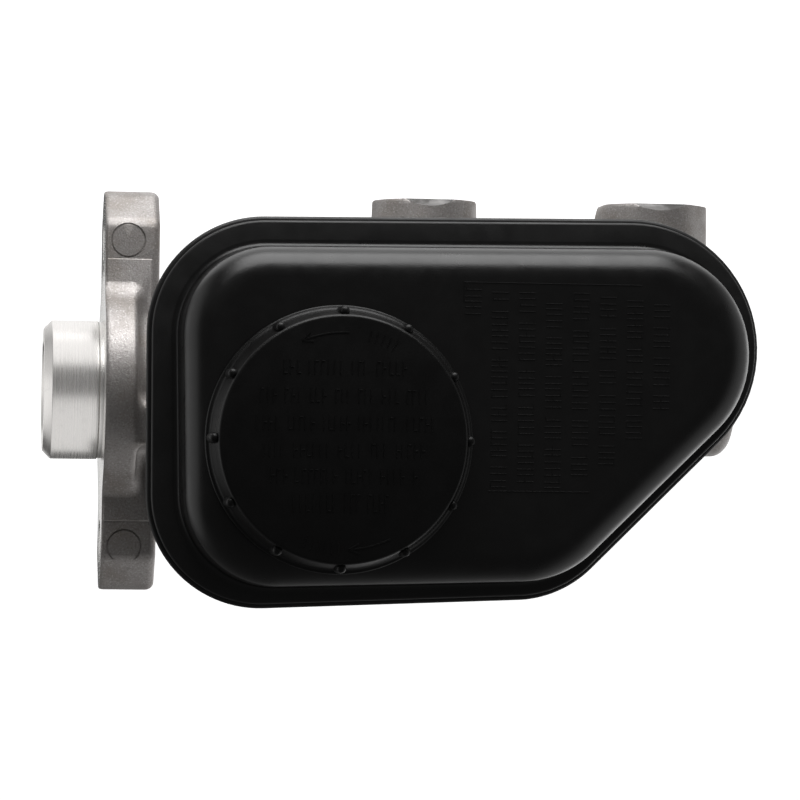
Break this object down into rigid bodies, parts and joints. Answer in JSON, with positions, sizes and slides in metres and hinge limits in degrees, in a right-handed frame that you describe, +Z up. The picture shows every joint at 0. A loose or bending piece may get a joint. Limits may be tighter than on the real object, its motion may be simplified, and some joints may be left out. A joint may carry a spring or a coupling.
{
  "type": "brake master cylinder",
  "caption": "Tandem brake master cylinder: cast body with flange and side outlets, sliding pistons, plastic fluid reservoir, screw cap and level float.",
  "frame": {"origin": "where the bore axis meets the mounting face of the flange", "axes": "+X along the bore towards its closed front end, +Y towards the outlet ports, +Z up to the filler cap"},
  "size_m": [0.1983, 0.1162, 0.1264],
  "materials": {
    "cast_aluminium": "fine sand-cast skin with machined ends",
    "anodised_aluminium": "turned and hard anodised",
    "black_plastic": "satin moulded polypropylene",
    "black_rubber": "matt",
    "spring_steel": "oiled wire",
    "zinc_steel": "zinc plated",
    "copper": "soft copper",
    "brass": "stamped",
    "white_plastic": "natural moulded",
    "ferrite": "sintered magnet"
  },
  "bodies": {
    "housing": {"cylinder_body": "cast_aluminium", "outlet_seat_rear": "zinc_steel", "outlet_seat_front": "zinc_steel", "stop_bolt": "zinc_steel", "stop_bolt_washer": "copper", "bore_snap_ring": "spring_steel", "bore_stop_washer": "zinc_steel", "secondary_spring": "spring_steel", "secondary_spring_seat": "zinc_steel", "grommet_rear": "black_rubber", "grommet_front": "black_rubber", "reservoir_pin_rear": "spring_steel", "reservoir_pin_front": "spring_steel", "reservoir_lower": "black_plastic", "reservoir_lower_flange": "black_plastic", "reservoir_upper": "black_plastic", "reservoir_upper_flange": "black_plastic", "level_switch": "black_plastic", "switch_blade_left": "brass", "switch_blade_right": "brass"},
    "primary_group": {"primary_piston": "anodised_aluminium", "primary_rear_seal": "black_rubber", "primary_cup": "black_rubber", "primary_cup_washer": "zinc_steel", "primary_spring_bolt": "zinc_steel"},
    "secondary_group": {"secondary_piston": "anodised_aluminium", "secondary_rear_cup": "black_rubber", "secondary_middle_cup": "black_rubber", "secondary_front_cup": "black_rubber", "secondary_cup_washer": "zinc_steel", "primary_spring": "spring_steel", "primary_spring_retainer": "zinc_steel"},
    "float_group": {"level_float": "white_plastic", "float_magnet": "ferrite"},
    "cap_seal": {"cap_diaphragm": "black_rubber"},
    "cap_washer": {"cap_slip_washer": "white_plastic"},
    "cap": {"filler_cap": "black_plastic"}
  },
  "joints": [
    {"name": "primary_stroke", "type": "slide", "parent": "housing", "child": "primary_group", "axis": [1, 0, 0], "range_m": [0, 0.028], "stiffness_N_per_m": 2000, "springref_m": -0.03, "deforming": ["primary_spring"]},
    {"name": "secondary_stroke", "type": "slide", "parent": "housing", "child": "secondary_group", "axis": [1, 0, 0], "range_m": [0, 0.013], "deforming": ["secondary_spring"]},
    {"name": "float_rise", "type": "slide", "parent": "housing", "child": "float_group", "axis": [0, 0, 1], "range_m": [0, 0.018]},
    {"name": "cap_lift", "type": "slide", "parent": "housing", "child": "cap_seal", "axis": [0, 0, 1], "range_m": [0, 0.06]},
    {"name": "cap_rise", "type": "slide", "parent": "cap_seal", "child": "cap_washer", "axis": [0, 0, 1], "range_m": [0, 0.0075]},
    {"name": "cap_turn", "type": "hinge", "parent": "cap_washer", "child": "cap", "pos_m": [0.0595, -0.0135, 0.083], "axis": [0, 0, 1], "range_deg": [0, 450]}
  ],
  "couplings": [
    {"joint": "secondary_stroke", "follows": "primary_stroke", "ratio": 0.464},
    {"joint": "cap_turn", "follows": "cap_rise", "rad_per_m": 1047.2}
  ]
}
